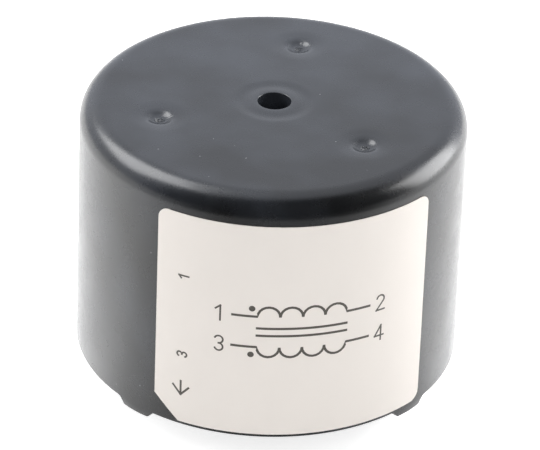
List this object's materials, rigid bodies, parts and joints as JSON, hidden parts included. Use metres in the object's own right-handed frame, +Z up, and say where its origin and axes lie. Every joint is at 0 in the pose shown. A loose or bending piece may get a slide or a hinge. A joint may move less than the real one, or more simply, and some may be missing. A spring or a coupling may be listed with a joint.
{
  "type": "common mode choke",
  "caption": "Round potted common mode choke for a circuit board: a black moulded can with a screw hole through its middle, a side label, feet and wire terminals below.",
  "frame": {"origin": "on the axis of the screw hole, in the plane of the feet and of the tube's lower end, which is the face that stands on the board", "axes": "+Z up along the screw hole, away from the board; the label faces -Y and is printed upright when +Z is up; +X is to the right as the label is read"},
  "size_m": [0.051, 0.0511, 0.041],
  "materials": {
    "can_plastic": "satin, lightly eroded mould surface",
    "label_paper": "white film label, satin",
    "core_tape": "metal tape wound edge to edge",
    "case_plastic": "satin",
    "enamelled_wire": "copper under clear amber enamel, glossy",
    "spacer_plastic": "satin",
    "plate_laminate": "glass fibre laminate, satin",
    "tinned_wire": "hot tinned, bright",
    "resin": "cast epoxy, glossy with a slightly wavy face"
  },
  "bodies": {
    "root": {"housing": "can_plastic", "label": "label_paper", "core_ring": "core_tape", "core_case_cup": "case_plastic", "core_case_lid": "case_plastic", "winding_1": "enamelled_wire", "winding_2": "enamelled_wire", "winding_spacer_front": "spacer_plastic", "winding_spacer_rear": "spacer_plastic", "lead_guide_plate": "plate_laminate", "terminal_1": "tinned_wire", "terminal_2": "tinned_wire", "terminal_3": "tinned_wire", "terminal_4": "tinned_wire", "potting_resin": "resin"}
  },
  "joints": []
}
